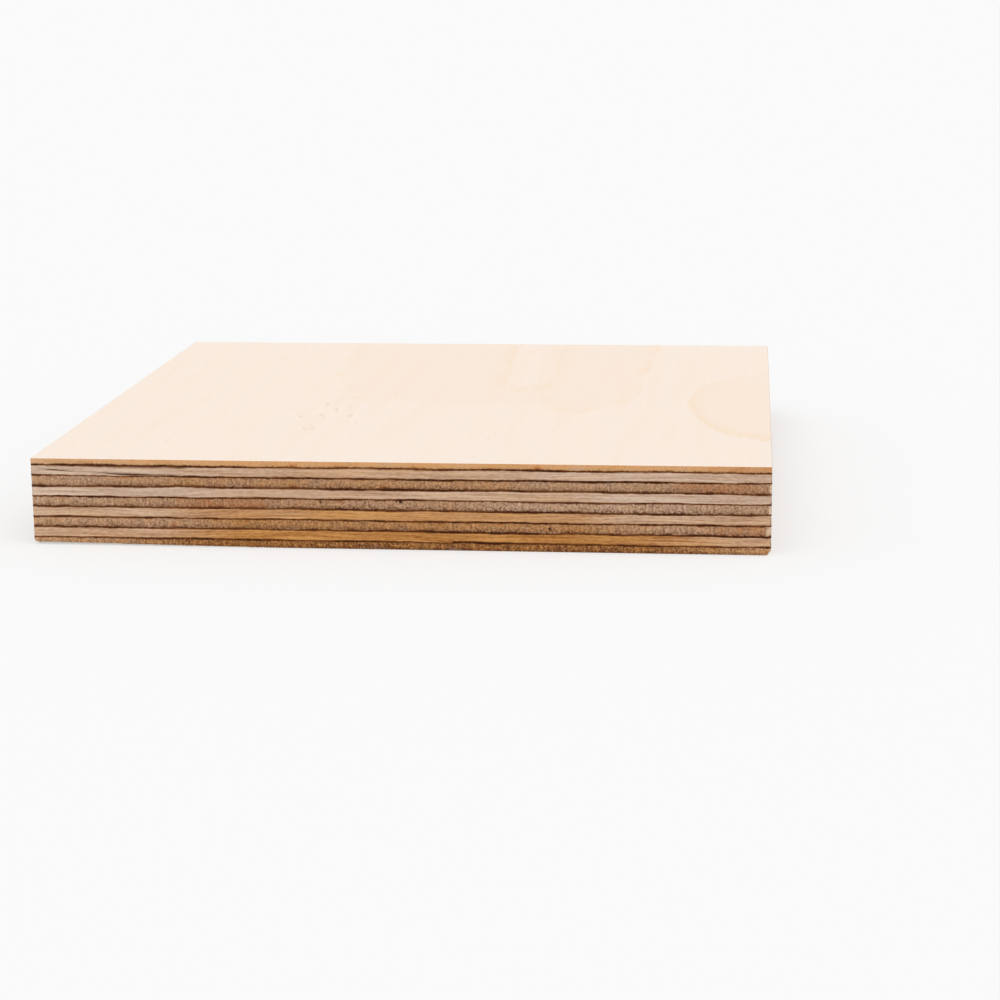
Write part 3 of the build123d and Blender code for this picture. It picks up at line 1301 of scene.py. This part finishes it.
def resin():
    """Dark phenol resin, browner where the film is thin."""
    material, tree, shader = new_material("resin glue")
    x, y, z = object_place(tree)
    patch = level_noise(x, y, z, *RESIN_PATCHES)
    thin = ramp(read(tree, "film") + patch * 0.02, *THIN_FILM)
    specks = level_noise(x, y, z, *RESIN_SPECKS)
    colour = tint(thin * 0.7, RESIN_DARK, RESIN_THIN)
    colour = tint(ramp(specks, 0.1, 1.0) * 0.55, colour, RESIN_SPECK)
    feed(shader["Base Color"], colour)
    feed(shader["Roughness"], RESIN_ROUGHNESS + specks * 0.1)
    shader["Specular IOR Level"].default_value = RESIN_SPECULAR
    feed(shader["Normal"], bump(specks, RESIN_BUMP))
    return material


GLUE = resin()
print("glue:", GLUE.name)

# %% [markdown]
# ## Nine woods
# Each veneer is another wood. Its row says how golden it is and how light, how much more golden in the middle
# of the front edge, partly its own gold and partly painted warm bounce light, how much darker there with
# painted shade, where that middle lies, how far it reaches, and how strong the grain is. Two of the woods are
# frosted too, and four have a rusty stretch. The rows were tuned by measure, until every veneer looked as it
# does in the photograph from one end of the front edge to the other.

# %% Dress every layer
WOODS = {
    1: Wood(0.54, 0.14, 0.85, 0.0, 8, 54, 0.9, rusty_at=48),
    2: Wood(0.13, 0.26, 0.0, 0.0, -5, 28, 1.0),
    3: Wood(0.36, 0.18, -0.10, 0.0, -8, 32, 1.0, rusty_at=43),
    4: Wood(0.07, 0.26, 0.04, 0.0, 0, 34, 1.0),
    5: Wood(0.24, 0.16, -0.08, -0.06, -12, 34, 1.1, frost=0.62, rusty_at=-23),
    6: Wood(0.38, 0.38, 0.03, 0.0, -1, 34, 1.1),
    7: Wood(0.38, 0.34, -0.04, -0.08, 2, 36, 1.1, frost=0.3, rusty_at=48),
    8: Wood(0.43, 0.58, 0.0, -0.12, 6, 41, 1.2),
    9: Wood(0.50, 0.46, 0.0, -0.46, 4, 47, 1.35),
}
FACE_TILT = 0.6


def dress(piece, layer):
    """Gives a layer its materials and its place in the frame."""
    if layer.is_glue:
        piece.data.materials.append(GLUE)
    else:
        piece.data.materials.append(edge_birch(layer, WOODS[layer.ply]))
    if layer is layers[-1]:
        piece.data.materials.append(FACE)
    if layer is layers[0]:
        piece.data.materials.append(BACK)
    outer = 1.0 if layer is layers[-1] else -1.0
    if len(piece.data.materials) > 1:
        for face in piece.data.polygons:
            if face.normal.z * outer > FACE_TILT:
                face.material_index = 1
    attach(piece, "root")
    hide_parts(layer.name)


for layer in layers:
    dress(pieces[layer.name], layer)
print("dressed", len(pieces), "pieces with", len(bpy.data.materials), "materials")

# %% [markdown]
# ## A plain white studio
# The sample is shown on white, under one large soft light from above and a white room all round. The floor
# is white only to the camera and to reflections, and keeps a soft shadow where the sheet touches it.

# %% Floor, room and light
FLOOR_SIZE = 30000.0
FLOOR_DROP = 0.05
ROOM_LIGHT = 0.58
SOFT_LIGHT = 1.45
SOFT_ANGLE = math.radians(85)
SOFT_TILT = (math.radians(28), math.radians(10), 0)
SEEN_WHITE = 0.965
FLOOR_SHADE = 0.45
FLOOR_BOUNCE = 0.8

bpy.ops.object.select_all(action="DESELECT")
bpy.ops.mesh.primitive_plane_add(size=FLOOR_SIZE * MM, location=(0, 0, -FLOOR_DROP * MM))
floor = bpy.context.object
floor.name = "studio_floor"


def seen_directly(tree):
    """1 for rays that show a surface to the camera, also by way of a mirror or a pane."""
    path = tree.nodes.new("ShaderNodeLightPath").outputs
    seen = Field(path["Is Camera Ray"]) + Field(path["Is Glossy Ray"]) + Field(path["Is Transmission Ray"])
    return reckon("MINIMUM", seen, 1.0)


def white_floor():
    """White paper that stays bright to the camera and still takes a shadow."""
    material = bpy.data.materials.new("white floor")
    material.use_nodes = True
    tree = material.node_tree
    tree.nodes.clear()
    seen = seen_directly(tree)
    paper = tree.nodes.new("ShaderNodeBsdfDiffuse")
    feed(paper.inputs["Color"], tint(seen, [FLOOR_BOUNCE] * 3 + [1], [FLOOR_SHADE] * 3 + [1]))
    glow = tree.nodes.new("ShaderNodeEmission")
    feed(glow.inputs["Strength"], seen * (SEEN_WHITE - FLOOR_SHADE))
    both = tree.nodes.new("ShaderNodeAddShader")
    tree.links.new(paper.outputs[0], both.inputs[0])
    tree.links.new(glow.outputs[0], both.inputs[1])
    out = tree.nodes.new("ShaderNodeOutputMaterial")
    tree.links.new(both.outputs[0], out.inputs["Surface"])
    return material


floor.data.materials.append(white_floor())

room = bpy.data.worlds.new("white room")
bpy.context.scene.world = room
room.use_nodes = True
light = room.node_tree.nodes["Background"]
feed(light.inputs["Strength"], between(seen_directly(room.node_tree), ROOM_LIGHT, SEEN_WHITE))
light.inputs["Color"].default_value = (1, 1, 1, 1)

bpy.ops.object.light_add(type="SUN", rotation=SOFT_TILT)
soft = bpy.context.object
soft.data.energy = SOFT_LIGHT
soft.data.angle = SOFT_ANGLE
bpy.context.scene.view_settings.view_transform = "Standard"
print("studio floor", FLOOR_SIZE * MM, "m, soft light over", round(math.degrees(SOFT_ANGLE)), "degrees")
